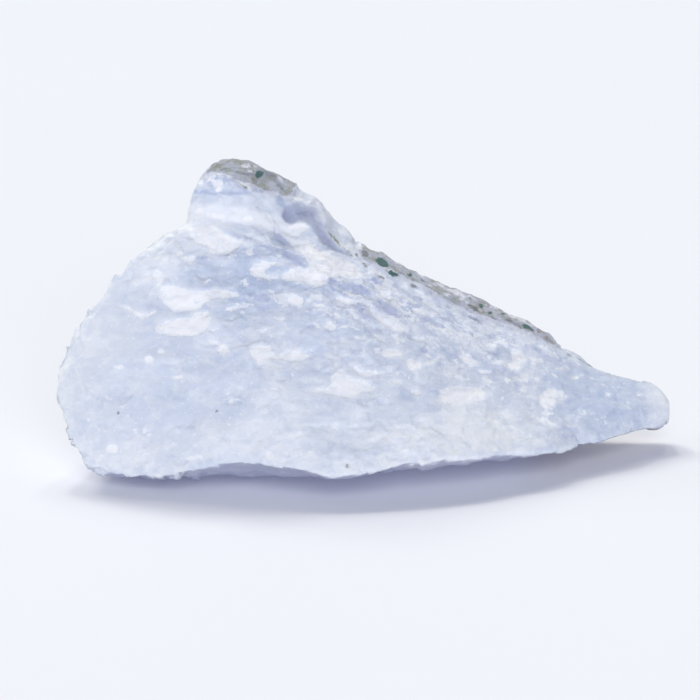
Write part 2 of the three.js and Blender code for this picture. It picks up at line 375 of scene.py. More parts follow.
# Small single spots, laid out the same way: mm across and up, half length, half height, lean.
spots = {
    # painted shade in the groove's dark end and along its lower edge
    "hollow": [
        (-6.1, 13.6, 0.5, 0.4, 10),
        (-4.6, 13.9, 0.9, 0.25, -6),
        (-3.1, 12.7, 0.25, 0.6, 0),
        (-2.3, 11.3, 1.0, 0.22, -50),
    ],
    "violet": [
        (-11.1, 16.6, 1.0, 0.4, -45),
        (-13.9, 16.4, 0.4, 0.25, -30),
        (-8.6, 16.0, 0.25, 0.15, 0),
        (-7.0, 11.2, 0.9, 0.4, -40),
        (-5.6, 9.1, 1.2, 0.55, -35),
        (-1.8, 6.8, 0.5, 0.3, -30),
        (0.6, 6.1, 1.6, 0.5, -22),
        (1.4, 3.6, 1.3, 0.45, -30),
        (3.6, 4.2, 1.5, 0.55, -22),
        (-9.0, 5.3, 1.0, 0.4, -10),
        (7.8, 3.0, 0.7, 0.25, -25),
        (7.4, 0.0, 0.35, 0.35, -60),
        (9.0, -1.3, 0.4, 0.3, -50),
        (18.8, 0.1, 0.5, 0.2, -20),
        (-14.8, 9.2, 0.5, 0.25, 0),
        (-10.6, 11.3, 0.6, 0.2, -15),
    ],
    "bright": [
        (-10.6, 16.5, 0.9, 0.13, -41),
        (-13.1, 16.2, 0.25, 0.5, -20),
        (-15.0, 13.8, 0.5, 0.35, 0),
        (-13.2, 13.4, 0.9, 0.3, -8),
        (-10.2, 13.1, 0.5, 0.25, 0),
        (-5.3, 12.4, 1.0, 0.25, 14),
        (-20.1, -0.9, 0.5, 0.35, -20),
        (-23.0, -1.7, 0.5, 0.22, 0),
        (-17.2, -2.7, 0.5, 0.2, 0),
        (-24.2, -4.8, 0.35, 0.14, -40),
        (-12.6, 0.2, 0.6, 0.3, -40),
        (-5.0, 15.2, 0.4, 0.2, 0),
        (-3.3, 7.6, 0.9, 0.32, -8),
        (-2.1, 9.3, 0.9, 0.25, -35),
        (0.1, 8.6, 1.0, 0.25, -25),
        (-0.1, -3.9, 0.9, 0.22, 0),
        (11.2, -4.4, 1.5, 0.35, 4),
        (-16.8, 5.1, 0.8, 0.28, 0),
        (-15.2, 2.6, 0.8, 0.3, 6),
    ],
    "olive": [
        (-10.6, 16.4, 0.6, 0.12, -45),
        (-1.5, 11.2, 0.8, 0.09, -47),
        (-0.1, 9.8, 0.4, 0.1, -40),
    ],
    "film": [
        (0.8, 10.3, 0.6, 0.3, -40),
        (4.9, 8.6, 0.7, 0.1, -25),
        (6.9, 7.6, 0.5, 0.12, -30),
        (8.8, 6.7, 1.2, 0.26, -33),
        (8.0, 6.4, 0.3, 0.14, -20),
        (10.9, 5.5, 1.0, 0.26, -30),
        (9.6, 5.5, 0.4, 0.16, 0),
        (11.5, 4.8, 0.4, 0.12, -20),
        (12.3, 5.1, 0.5, 0.16, -25),
        (14.4, 4.3, 0.6, 0.1, -20),
        (16.8, 3.5, 1.4, 0.18, -25),
        (18.9, 2.4, 0.4, 0.1, -35),
        (-10.2, 18.6, 0.7, 0.12, -8),
        (-6.9, 17.3, 0.4, 0.14, -40),
    ],
    "slate": [
        (-8.1, 17.75, 0.9, 0.25, -20),
        (-7.2, 16.7, 0.9, 0.2, -50),
        (-10.7, 17.75, 0.8, 0.16, -8),
        (-12.2, 18.3, 0.7, 0.12, 10),
        (12.6, 3.0, 0.8, 0.14, -30),
        (16.4, 2.6, 1.0, 0.14, -28),
    ],
    "dark": [
        (1.5, 9.7, 0.45, 0.3, -60),
        (0.7, 9.6, 0.2, 0.15, 0),
        (1.5, 8.6, 0.3, 0.16, -30),
        (3.0, 7.4, 0.45, 0.14, -30),
        (6.3, 6.4, 0.5, 0.16, -30),
        (8.3, 6.9, 0.5, 0.1, -30),
        (12.3, 4.2, 0.6, 0.24, -30),
        (14.4, 3.3, 0.4, 0.1, -20),
        (15.9, 3.0, 0.4, 0.16, -20),
        (19.0, 2.0, 1.2, 0.08, -42),
        (22.0, -0.3, 0.25, 0.1, -30),
        (23.2, -0.95, 0.55, 0.09, -28),
        (24.1, -1.2, 0.35, 0.12, -25),
        (-23.2, -6.3, 0.17, 0.17, 0),
        (-13.3, -6.1, 0.15, 0.15, 0),
        (-0.2, -11.6, 0.2, 0.16, 0),
    ],
    "green": [
        (-9.0, 17.7, 0.5, 0.34, 35),
        (3.2, 8.75, 0.7, 0.4, -25),
        (4.2, 7.7, 0.6, 0.22, -20),
        (6.0, 7.55, 0.22, 0.14, -30),
        (7.3, 6.9, 0.25, 0.12, -30),
        (13.1, 4.4, 0.2, 0.25, 0),
        (14.0, 3.7, 0.22, 0.13, 0),
        (15.25, 3.6, 0.3, 0.12, -5),
        (17.8, 2.2, 0.65, 0.26, -12),
    ],
}

# the plane that these are laid out on
planeAhead = np.array((camera["aim"] - camera["place"]).normalized())
planeSide = np.array((1.0, 0.0, 0.0))
planeTop = np.cross(planeSide, planeAhead)


def planePlaces(points):  # points in mm; mm across and up on the plane
    seen = points - np.array(camera["place"]) / mm
    nearness = (camera["aim"] - camera["place"]).length / mm / (seen @ planeAhead)
    return np.stack((seen @ planeSide * nearness, seen @ planeTop * nearness), 1)


def areaSum(places, areas):  # the areas' amounts, each fading out over its rim
    result = 0
    for across, up, halfLength, halfHeight, lean, amount in areas:
        turn = math.radians(lean)
        x, y = places[:, 0] - across, places[:, 1] - up
        lengthwise = (x * math.cos(turn) + y * math.sin(turn)) / halfLength
        crosswise = (y * math.cos(turn) - x * math.sin(turn)) / halfHeight
        result = result + amount * np.exp(-((lengthwise**2 + crosswise**2) ** 1.4))
    return result


def onStone(blank, across, up):  # the point in mm that the first view shows there
    for drop in range(12):  # steps down from a place just off the outline
        shift = Vector(planeSide * across + planeTop * (up - 0.08 * drop)) * mm
        found, place, *rest = blank.ray_cast(camera["place"], camera["aim"] + shift - camera["place"])
        if found:
            return np.array(place) / mm
    raise ValueError("no stone at %.1f, %.1f" % (across, up))


def spotField(blank, points, marks):  # mm to the rim of the nearest spot, below zero inside
    nearestRim = np.full(len(points), 9.0)
    for across, up, halfLength, halfHeight, lean in marks:
        turn = math.radians(lean)
        off = points - onStone(blank, across, up)
        lengthwise = off @ (planeSide * math.cos(turn) + planeTop * math.sin(turn)) / halfLength
        crosswise = off @ (planeTop * math.cos(turn) - planeSide * math.sin(turn)) / halfHeight
        inward = off @ planeAhead / (1.6 * halfLength + 0.4)
        reach = np.sqrt(lengthwise**2 + crosswise**2 + inward**2)
        nearestRim = np.minimum(nearestRim, (reach - 1) * min(halfLength, halfHeight))
    return nearestRim


def storeFloats(mesh, name, values):
    layer = mesh.attributes.new(name, "FLOAT", "POINT")
    layer.data.foreach_set("value", np.asarray(values, np.float32))


def readVectors(mesh, name):
    values = np.empty(len(mesh.vertices) * 3, np.float32)
    mesh.vertices.foreach_get(name, values)
    return values.reshape(-1, 3).astype(float)


def plainMesh(source, name):  # the evaluated object as a mesh of its own
    graph = bpy.context.evaluated_depsgraph_get()
    mesh = bpy.data.meshes.new_from_object(source.evaluated_get(graph), depsgraph=graph)
    mesh.name = name
    return mesh


def makeBlank():
    work = bmesh.new()
    work.from_mesh(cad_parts["chalcedony"].data)
    bmesh.ops.remove_doubles(work, verts=work.verts, dist=1e-6)
    bmesh.ops.recalc_face_normals(work, faces=work.faces)
    mesh = bpy.data.meshes.new("stoneBlank")
    work.to_mesh(mesh)
    work.free()
    return newObject("stoneBlank", mesh)


def makeFineMesh(blank):
    modifier = blank.modifiers.new("voxels", "REMESH")
    modifier.mode = "VOXEL"
    modifier.voxel_size = stone["voxel"] * mm
    modifier.adaptivity = 0
    fine = plainMesh(blank, "stoneFine")
    blank.modifiers.remove(modifier)
    return fine


def makePlan(name, marks):  # one point a mark, with its sizes as attributes
    mesh = bpy.data.meshes.new(name)
    mesh.from_pydata([(across, up, 0) for across, up, *rest in marks], [], [])
    for size, column in (("halfLength", 2), ("halfHeight", 3), ("lean", 4)):
        values = [mark[column] for mark in marks]
        storeFloats(mesh, size, np.radians(values) if size == "lean" else values)
    return newObject(name, mesh)


def makeOutlineShape(name, outlines):  # flat faces on the layout plane
    corners, faces = [], []
    for outline in outlines:
        faces.append(list(range(len(corners), len(corners) + len(outline))))
        corners += [(across, up, 0) for across, up in outline]
    mesh = bpy.data.meshes.new(name)
    mesh.from_pydata(corners, [], faces)
    return newObject(name, mesh)


# parts of the surface's node tree

def named(tree, name):
    return addNode(
        tree, "GeometryNodeInputNamedAttribute", {"Name": name}, data_type="FLOAT"
    ).outputs["Attribute"]


def store(tree, geometry, name, value):
    return addNode(
        tree,
        "GeometryNodeStoreNamedAttribute",
        {"Geometry": geometry, "Name": name, "Value": value},
        data_type="FLOAT",
        domain="POINT",
    ).outputs["Geometry"]


def blurred(tree, value, passes, kind="FLOAT"):
    return addNode(
        tree, "GeometryNodeBlurAttribute", {"Value": value, "Iterations": passes}, data_type=kind
    ).outputs[0]


def nearest(tree, geometry, place, kind="FACES"):
    return addNode(
        tree,
        "GeometryNodeProximity",
        {"Geometry": geometry, "Sample Position": place},
        target_element=kind,
    ).outputs


def placed(tree, geometry, key, value):  # key: Position or Offset
    return addNode(tree, "GeometryNodeSetPosition", {"Geometry": geometry, key: value}).outputs[0]


def shapeOf(tree, source):
    return addNode(tree, "GeometryNodeObjectInfo", {"Object": source}).outputs["Geometry"]


def tiltedCells(tree, place, size, tilt, step):  # height in mm of small flat facets
    local = vec(tree, "SCALE", place, scale=1 / size)
    cells = addNode(tree, "ShaderNodeTexVoronoi", {"Vector": local, "Scale": 1.0}, feature="F1")
    inside = vec(tree, "SUBTRACT", local, cells.outputs["Position"])
    lean = vec(tree, "SUBTRACT", cells.outputs["Color"], (0.5, 0.5, 0.5))
    slope = product(tree, vec(tree, "DOT_PRODUCT", inside, lean), 2 * tilt)
    lift = product(tree, less(tree, split(tree, cells.outputs["Color"])[0], 0.5), 2 * step)
    return total(tree, slope, lift)


def alongSplinters(tree, place):
    turn = math.radians(stone["splinterFall"])
    lengthwise = vec(tree, "DOT_PRODUCT", place, (math.cos(turn), 0, -math.sin(turn)))
    crosswise = vec(tree, "DOT_PRODUCT", place, (math.sin(turn), 0, math.cos(turn)))
    squeezed = product(tree, lengthwise, stone["splinterStretch"])
    return combine(tree, squeezed, split(tree, place)[1], crosswise)


def rindEdge(tree, axes, wander):  # mm in y where the rind starts
    rind = stone["rind"]
    knobEdge, gapEdge, slopeEdge = rind["edge"]
    leftStart, leftEnd, rightStart, rightEnd = rind["gap"]
    sideTop, sideFoot, sideWander = rind["gapSides"]
    wavering = ramp(tree, axes[2], sideTop, sideFoot, 0.0, sideWander)
    along = total(tree, axes[0], product(tree, wander, wavering))
    driftStart, driftEnd, drift = rind["drift"]
    drifting = ramp(tree, axes[0], driftStart, driftEnd, 0.0, drift)
    edge = total(
        tree,
        ramp(tree, along, leftStart, leftEnd, knobEdge, gapEdge),
        ramp(tree, along, rightStart, rightEnd, 0.0, slopeEdge - gapEdge),
        product(tree, drifting, ramp(tree, axes[0], leftEnd, leftStart)),
    )
    footTop, footLow, footPlace, footFall = rind["gapFoot"]
    lowered = ramp(tree, axes[2], footTop, footLow, 0.0, footFall)  # the gap is only at the top
    return calc(tree, "MINIMUM", edge, less(tree, footPlace, lowered))


def insideRind(tree, axes, facing, shifted):  # above zero where the stone has its rind
    rind = stone["rind"]
    wander = product(tree, less(tree, noise(tree, shifted, rind["wander"], 3), 0.5), 2.0)
    straight = less(tree, axes[1], product(tree, calc(tree, "MAXIMUM", axes[0], 0.0), rind["bend"]))
    turnForward, turnLeft, turnRate = rind["turn"]
    leftPlace, leftWander = rind["left"]
    tipStart, tipRate = rind["tipSpread"]
    bottomPlace, bottomWander = rind["bottom"]
    backwards = product(tree, calc(tree, "MAXIMUM", less(tree, straight, tipStart), 0.0), tipRate)
    inside = less(tree, straight, rindEdge(tree, axes, wander))
    for other in (  # not on faces that look forward or left, nor past its ends
        product(tree, total(tree, blurred(tree, facing[1], 3), turnForward), turnRate),
        product(tree, total(tree, facing[0], turnLeft), turnRate),
        total(tree, axes[0], leftPlace, product(tree, wander, leftWander)),
        total(tree, less(tree, rind["tip"], axes[0]), backwards, wander),
        total(tree, less(tree, axes[2], bottomPlace), product(tree, wander, bottomWander)),
    ):
        inside = calc(tree, "MINIMUM", inside, other)
    # spalls on the back, where it has come away
    spallScale, spallStart, spallEnd = rind["spalls"]
    bare = ramp(tree, noise(tree, shifted, spallScale, 3, 0.5), spallStart, spallEnd)
    bare = product(tree, bare, ramp(tree, straight, *rind["spallsBehind"]), 50)
    return less(tree, inside, bare)


def rindDistance(tree, geometry, position):  # mm to the rind, below zero on it
    parts = addNode(
        tree,
        "GeometryNodeSeparateGeometry",
        {"Geometry": geometry, "Selection": calc(tree, "GREATER_THAN", named(tree, "isRind"), 0.5)},
        domain="FACE",
    ).outputs
    toRind = nearest(tree, parts[0], position)["Distance"]
    toStone = nearest(tree, parts[1], position)["Distance"]
    return blurred(tree, calc(tree, "DIVIDE", less(tree, toRind, toStone), mm), 2)


def planDiscs(tree, plan):  # an oval for each of the plan's points
    disc = addNode(
        tree, "GeometryNodeMeshCircle", {"Vertices": 48, "Radius": 1.0}, fill_type="NGON"
    ).outputs[0]
    turn = combine(tree, z=named(tree, "lean"))
    discs = addNode(
        tree,
        "GeometryNodeInstanceOnPoints",
        {
            "Points": shapeOf(tree, plan),
            "Instance": disc,
            "Rotation": addNode(tree, "FunctionNodeEulerToRotation", {0: turn}).outputs[0],
            "Scale": combine(tree, named(tree, "halfLength"), named(tree, "halfHeight"), 1.0),
        },
    ).outputs[0]
    return addNode(tree, "GeometryNodeRealizeInstances", {"Geometry": discs}).outputs[0]


def markDistance(tree, position, marks, raggedness):  # mm to the rims of the marks, below zero inside
    ragged = jitter(tree, position, 1.0, 3, 0.6)
    ragged = vec(tree, "MULTIPLY", ragged, (2 * raggedness, raggedness, 0.0))
    marks = placed(tree, marks, "Offset", ragged)
    onPlane = combine(tree, named(tree, "across"), named(tree, "up"))
    toMark = nearest(tree, marks, onPlane)["Distance"]
    toRim = nearest(tree, marks, onPlane, "EDGES")["Distance"]
    inMark = calc(tree, "LESS_THAN", toMark, 0.002)
    away = calc(tree, "SUBTRACT", 0.1, named(tree, "towards"), clamp=True)  # none on the far side
    return total(tree, less(tree, toMark, product(tree, inMark, toRim)), product(tree, away, 20))


def stoneRelief(tree, warped, given):  # mm
    splinters = tiltedCells(tree, alongSplinters(tree, warped), *stone["splinters"])
    relief = total(
        tree,
        *[tiltedCells(tree, warped, *facet) for facet in stone["facets"]],
        product(tree, splinters, named(tree, "splinterAmount")),
    )
    calmed = less(tree, 1.0, product(tree, named(tree, "calm"), stone["calming"]))
    scallops = tiltedCells(tree, warped, *stone["scallops"])
    relief = total(tree, product(tree, relief, calmed), product(tree, scallops, named(tree, "rimAmount")))
    flakeRecess = ramp(tree, named(tree, "flakeField"), *stone["flakeRim"])
    relief = less(tree, relief, product(tree, flakeRecess, given["Flake Depth"]))
    relief = product(tree, relief, given["Relief"])
    grooveRecess = ramp(tree, named(tree, "grooveField"), *stone["grooveRim"], 0.0, given["Groove Depth"])
    return less(tree, relief, grooveRecess)


def rindRelief(tree, axes, shifted, warped, given):  # mm
    rind = stone["rind"]
    lumpScale, lumpHeight = rind["lumps"]
    knotScale, knotHeight = rind["knots"]
    lumps = less(tree, noise(tree, shifted, lumpScale, 4, 0.62), 0.5)
    knots = addNode(
        tree,
        "ShaderNodeTexVoronoi",
        {"Vector": warped, "Scale": knotScale, "Smoothness": 0.6},
        feature="SMOOTH_F1",
    ).outputs["Distance"]
    knots = less(tree, 0.45, knots)
    rough = total(tree, product(tree, lumps, lumpHeight), product(tree, knots, knotHeight))
    return product(tree, less(tree, rough, ramp(tree, axes[0], *rind["sink"])), given["Rind Relief"])


def makeSurfaceTree(blank, flakeShape, flakePlan, grooveShape, material):
    tree = bpy.data.node_groups.new("brokenSurface", "GeometryNodeTree")
    tree.interface.new_socket("Geometry", in_out="INPUT", socket_type="NodeSocketGeometry")
    tree.interface.new_socket("Geometry", in_out="OUTPUT", socket_type="NodeSocketGeometry")
    for name, value in stone["inputs"].items():
        socket = tree.interface.new_socket(name, in_out="INPUT", socket_type="NodeSocketFloat")
        socket.default_value = value
    given = tree.nodes.new("NodeGroupInput").outputs
    result = tree.nodes.new("NodeGroupOutput")
    position = addNode(tree, "GeometryNodeInputPosition").outputs[0]
    normal = addNode(tree, "GeometryNodeInputNormal").outputs[0]
    place = vec(tree, "SCALE", position, scale=1 / mm)
    axes = split(tree, place)
    shifted = vec(tree, "ADD", place, combine(tree, given["Seed Shift"], given["Seed Shift"]))
    warped = warp(tree, shifted, *stone["warp"])

    # back onto the blank's own faces, so that its edges stay crisp
    onBlank = nearest(tree, shapeOf(tree, blank), position)["Position"]
    shape = placed(tree, given["Geometry"], "Position", onBlank)

    # the top of the knob is worn round
    wearStart, wearEnd, wearPasses = stone["wear"]
    worn = blurred(tree, position, wearPasses, "FLOAT_VECTOR")
    wear = ramp(tree, axes[2], wearStart, wearEnd)
    rounded = addNode(tree, "ShaderNodeMix", {0: wear, 4: position, 5: worn}, data_type="VECTOR").outputs[1]
    shape = placed(tree, shape, "Position", rounded)

    # where the rind is, and how far each point is from it, from a flake and from the groove
    inside = insideRind(tree, axes, split(tree, normal), shifted)
    shape = store(tree, shape, "isRind", calc(tree, "GREATER_THAN", inside, 0.0))
    shape = store(tree, shape, "rindField", rindDistance(tree, shape, position))
    flakes = tree.nodes.new("GeometryNodeJoinGeometry")
    tree.links.new(planDiscs(tree, flakePlan), flakes.inputs[0])
    tree.links.new(shapeOf(tree, flakeShape), flakes.inputs[0])
    toFlake = markDistance(tree, position, flakes.outputs[0], stone["flakeRagged"])
    shape = store(tree, shape, "flakeField", toFlake)
    toGroove = markDistance(tree, position, shapeOf(tree, grooveShape), stone["grooveRagged"])
    shape = store(tree, shape, "grooveField", toGroove)

    # height of the relief, with a step down where the rind is missing on the back
    onRind = ramp(tree, named(tree, "rindField"), 0.15, -0.15)
    broken = stoneRelief(tree, warped, given)
    rough = rindRelief(tree, axes, shifted, warped, given)
    height = addNode(tree, "ShaderNodeMix", {0: onRind, 2: broken, 3: rough}, data_type="FLOAT").outputs[0]
    stepDepth, stepStart, stepEnd = stone["rind"]["step"]
    behind = ramp(tree, axes[1], stepStart, stepEnd)
    missing = product(tree, ramp(tree, named(tree, "rindField"), 0.05, 0.3), behind, stepDepth)
    height = less(tree, height, missing)
    for middle, reach, swell in stone["swells"]:
        toMiddle = vec(tree, "DISTANCE", place, middle)
        height = total(tree, height, ramp(tree, toMiddle, reach, 0.6, 0.0, swell))
    height = product(tree, height, ramp(tree, axes[2], *stone["footing"]))

    # move the points, and keep them within the blank's box
    shape = placed(tree, shape, "Offset", vec(tree, "SCALE", normal, scale=product(tree, height, mm)))
    within = vec(tree, "MAXIMUM", position, tuple(cadLow))
    shape = placed(tree, shape, "Position", vec(tree, "MINIMUM", within, tuple(cadHigh)))
    for kind, inputs in (
        ("GeometryNodeSetShadeSmooth", {"Shade Smooth": True}),
        ("GeometryNodeRealizeInstances", {}),
        ("GeometryNodeSetMaterial", {"Material": material}),
    ):
        shape = addNode(tree, kind, {"Geometry": shape, **inputs}).outputs[0]
    tree.links.new(shape, result.inputs[0])
    return tree


# stone material

stoneFinish = {
    "colours": {
        "blue": tint(196, 207, 227),
        "pale": tint(242, 244, 246),
        "soft": tint(216, 223, 234),
        "white": tint(250, 252, 255),
        "milk": tint(237, 240, 246),
        "bright": tint(255, 255, 255),
        "line": tint(186, 194, 216),
        "shade": tint(166, 175, 209),
        # violet-grey of the groove, made darker as painted shade in its recess
        "groove": tint(178, 185, 206),
        # painted shade for the darkest parts of the groove
        "hollow": tint(146, 152, 184),
        "rindOlive": tint(147, 151, 135),
        "rindGrey": tint(164, 168, 162),
        "rindBrown": tint(150, 138, 122),
        "rindDark": tint(112, 114, 114),
        "rindGreen": tint(84, 115, 110),
        "rindFilm": tint(208, 210, 222),
        "rindLilac": tint(192, 195, 214),
        "frost": tint(238, 240, 247),
        "slate": tint(122, 127, 142),
        # painted shade for faces that look towards the back-left lamp
        "lampSideShade": tint(188, 192, 198),
        # painted shade for faces that look down
        "undersideShade": tint(150, 152, 186),
    },
    "spots": {  # colour, strength, and mm of blur and of ragged edge
        "hollow": ("hollow", 0.5, 0.3, 0.2),
        "violet": ("shade", 0.5, 0.2, 0.5),
        "bright": ("bright", 0.8, 0.10, 0.2),
        "film": ("frost", 0.85, 0.12, 0.35),
        "olive": ("rindOlive", 0.85, 0.07, 0.2),
        "slate": ("slate", 0.55, 0.10, 0.2),
        "dark": ("rindDark", 0.7, 0.07, 0.2),
        "green": ("rindGreen", 1.0, 0.06, 0.2),
    },
    "knob": {  # its layers, by height in mm: they lie level, and sag towards the groove
        "bottom": 24.3,
        "top": 30.0,
        "sag": ((-14.7, 0.045), (-11.25, 0.11)),  # low and high layers: mm in x where it starts, rate
        "high": (25.2, 26.8),  # mm of height from low layers to high ones
        "mottled": (27.5, 27.9),  # mm of height over which white mottling sets in
        "patchy": 0.35,  # strength of the white patches
        "layers": [
            (24.3, "milk"),
            (24.9, "milk"),
            (25.7, "milk"),
            (26.1, "soft"),
            (26.85, "soft"),
            (26.95, "blue"),
            (27.1, "line"),
            (27.25, "blue"),
            (27.5, "soft"),
            (28.4, "blue"),
            (29.4, "soft"),
        ],
    },
    "paleness": 0.52,  # of plain stone, between blue at 0 and pale at 1; the next five change it
    "wideTone": 0.45,
    "clouds": 0.45,
    "mottling": 0.34,
    "grain": 0.10,
    "mosaic": 0.14,
    "calming": 0.6,  # share of the last three that goes where the break is smooth
    "mosaics": (0.8, 1.7),  # fracture grains in a mm, coarse and fine
    "terraces": 5.0,  # steps from blue to pale
    "streaks": (0.6, 0.75),  # strength of the dark ones, and of the white ones and the flecks
    "sugar": 0.45,  # strength of the fine white grain
    "bruise": (0.4, 0.2),  # mm that a flake's halo reaches, and its strength
    "groove": 0.85,  # strength of the groove's violet-grey and its painted shade
    "film": 0.7,
    "filmReach": (8.0, 11.0, 0.55, 1.5),  # mm in y, from and to, and how far it creeps there
    "speckle": 0.5,
    "brown": (19.0, 13.0, 0.15, 0.8),  # mm of height, from and to, and strength there
    "green": (8.0, 10.0, 0.0, 0.75),  # mm in y, and strength
    "stain": (13.0, 20.0, 0.0, 0.8),  # mm in x, and strength, on the underside
    "backLeftLampSide": (-0.40, 0.58, 0.71),  # the way towards the back-left lamp: faces that look that way get painted shade
    "roughness": (0.50, 0.15, 0.15, 0.3),  # of the stone, and more for grain, white stone and rind
    "relief": (0.45, 0.05, 0.02),  # mm, fine facets: size, tilt, step
    "bump": 0.65,
    "shader": {
        "IOR": 1.53,
        "Specular IOR Level": 0.35,
        "Subsurface Weight": 0.4,
        "Subsurface Radius": (0.85, 0.92, 1.0),
        "Subsurface Scale": 0.0006,  # m
    },
}


def field(tree, name):
    return addNode(
        tree, "ShaderNodeAttribute", attribute_name=name, attribute_type="GEOMETRY"
    ).outputs["Fac"]


def spread(tree, value, amount):  # a 0 to 1 pattern as a change either way
    return product(tree, less(tree, value, 0.5), 2 * amount)


def moved(tree, place, *shift):
    return vec(tree, "ADD", place, shift)


def ripple(tree, amount, place, *texture):  # noise as a change either way
    return spread(tree, noise(tree, place, *texture), amount)


def patches(tree, place, scale, detail, rough, *steps):  # noise cut by a smooth step
    return ramp(tree, noise(tree, place, scale, detail, rough), *steps)


def over(tree, colour, name, mask):
    return blend(tree, mask, colour, stoneFinish["colours"][name])


def spotted(tree, colour, place, *kinds):
    for kind in kinds:
        name, strength, blur, ragged = stoneFinish["spots"][kind]
        edge = total(tree, field(tree, kind + "Field"), ripple(tree, ragged, place, 2.2, 3, 0.65))
        colour = over(tree, colour, name, product(tree, ramp(tree, edge, blur, -blur), strength))
    return colour


def bodyColour(tree, warped, flat, grain):  # wide tone, clouds, a mosaic of fracture grains, mottling
    look = stoneFinish
    mottling = ripple(tree, look["mottling"], flat, 0.9, 3, 0.55)
    texture = total(tree, mottling, spread(tree, grain, look["grain"]))
    for scale in look["mosaics"]:
        cells = addNode(tree, "ShaderNodeTexVoronoi", {"Vector": flat, "Scale": scale}, feature="F1")
        red = split(tree, cells.outputs["Color"])[0]
        texture = total(tree, texture, spread(tree, red, look["mosaic"]))
    calmed = less(tree, 1.0, product(tree, field(tree, "calm"), look["calming"]))
    texture = product(tree, texture, calmed)
    clouds = ripple(tree, look["clouds"], warped, 0.2, 3, 0.55)
    wideTone = product(tree, field(tree, "tone"), look["wideTone"])
    paleness = total(tree, wideTone, look["paleness"], clouds, texture)
    paleness = calc(tree, "MAXIMUM", paleness, 0.0, clamp=True)
    steps = product(tree, paleness, look["terraces"])  # half of it in terraces, for crisper grains
    rise = ramp(tree, calc(tree, "FRACT", steps), 0.35, 0.65)
    terraces = total(tree, calc(tree, "FLOOR", steps), rise)
    terraces = calc(tree, "DIVIDE", terraces, look["terraces"])
    paleness = product(tree, total(tree, paleness, terraces), 0.5)
    return over(tree, look["colours"]["blue"], "pale", paleness)


def addStreaks(tree, colour, place, warped, flat, grain):  # splinters, flecks and fine white grain
    darkStrength, whiteStrength = stoneFinish["streaks"]
    splinterNoise = noise(tree, alongSplinters(tree, warped), 1.4, 4, 0.6)
    streaks = calc(tree, "MINIMUM", field(tree, "splinterAmount"), 1.0)
    darkStreaks = product(tree, ramp(tree, splinterNoise, 0.44, 0.34), streaks, darkStrength)
    colour = over(tree, colour, "shade", darkStreaks)
    whiteStreaks = product(tree, ramp(tree, splinterNoise, 0.55, 0.60), streaks)
    fleckNoise = noise(tree, moved(tree, flat, 13, 0, 0), 0.8, 4, 0.6)
    flecks = total(tree, fleckNoise, product(tree, field(tree, "fleckAmount"), 0.09))
    white = calc(tree, "MAXIMUM", ramp(tree, flecks, 0.655, 0.70), whiteStreaks)
    sugar = patches(tree, moved(tree, place, 0, 7, 0), 2.3, 3, 0.6, 0.62, 0.68)
    sugar = product(tree, sugar, stoneFinish["sugar"])
    white = calc(tree, "MAXIMUM", product(tree, white, whiteStrength), sugar)
    return colour, product(tree, white, ramp(tree, grain, 0.2, 0.55, 0.7, 1.0))


def addFlakes(tree, colour, white, place, flat):  # a pale halo, a crumbly white bed, a bruised heart
    edge = total(
        tree,
        field(tree, "flakeField"),
        ripple(tree, 0.26, place, 1.5, 2, 0.5),
        ripple(tree, 0.16, place, 3.4, 2, 0.6),
    )
    haloReach, haloStrength = stoneFinish["bruise"]
    halo = product(tree, ramp(tree, edge, haloReach, 0.0), haloStrength)
    crumbs = patches(tree, moved(tree, flat, 3, 0, 0), 2.2, 3, 0.7, 0.38, 0.58, 0.62, 1.0)
    bed = product(tree, ramp(tree, edge, 0.04, -0.04), crumbs)
    white = calc(tree, "MAXIMUM", white, calc(tree, "MAXIMUM", halo, bed))
    colour = over(tree, colour, "white", white)
    heart = patches(tree, moved(tree, flat, 0, 0, 19), 1.3, 3, 0.6, 0.42, 0.56)
    colour = over(tree, colour, "bright", product(tree, ramp(tree, edge, -0.08, -0.30), heart))
    return colour, white


def layerColour(tree, level):  # the knob's layers, by height
    knob = stoneFinish["knob"]
    bottom, top = knob["bottom"], knob["top"]
    height = calc(tree, "DIVIDE", less(tree, level, bottom), top - bottom, clamp=True)
    bands = addNode(tree, "ShaderNodeValToRGB", {"Fac": height})
    elements = bands.color_ramp.elements
    colours = stoneFinish["colours"]
    stops = [((z - bottom) / (top - bottom), colours[name]) for z, name in knob["layers"]]
    elements[0].position, elements[0].color = stops[0]
    elements[1].position, elements[1].color = stops[-1]
    for spot, value in stops[1:-1]:
        elements.new(spot).color = value
    return bands.outputs[0]


def addKnob(tree, colour, place, axes, warped, flat):
    knob = stoneFinish["knob"]
    high = ramp(tree, axes[2], *knob["high"])
    level = axes[2]
    for share, (start, rate) in zip((less(tree, 1.0, high), high), knob["sag"]):
        past = calc(tree, "MAXIMUM", less(tree, axes[0], start), 0.0)
        level = total(tree, level, product(tree, past, past, rate, share))
    level = total(tree, level, ripple(tree, 0.3, place, 0.7, 3))
    mottled = patches(tree, moved(tree, warped, 5, 0, 0), 1.1, 3, 0.6, 0.47, 0.57)
    mottled = product(tree, mottled, ramp(tree, level, *knob["mottled"]))
    knobColour = over(tree, layerColour(tree, level), "white", mottled)
    patchy = patches(tree, moved(tree, flat, 0, 9, 0), 0.9, 3, 0.6, 0.40, 0.62)
    knobColour = over(tree, knobColour, "white", product(tree, patchy, knob["patchy"]))
    layered = ramp(tree, level, knob["bottom"] - 0.1, knob["bottom"] + 0.12)
    return blend(tree, product(tree, field(tree, "knobAmount"), layered), colour, knobColour)


def addGrooveShade(tree, colour, place):
    edge = total(tree, field(tree, "grooveField"), ripple(tree, 0.15, place, 1.5, 2))
    # painted shade: the groove's recess is darkened to violet-grey, partly its own colour
    shaded = product(tree, ramp(tree, edge, 0.22, -0.25), stoneFinish["groove"])
    return over(tree, colour, "groove", shaded)


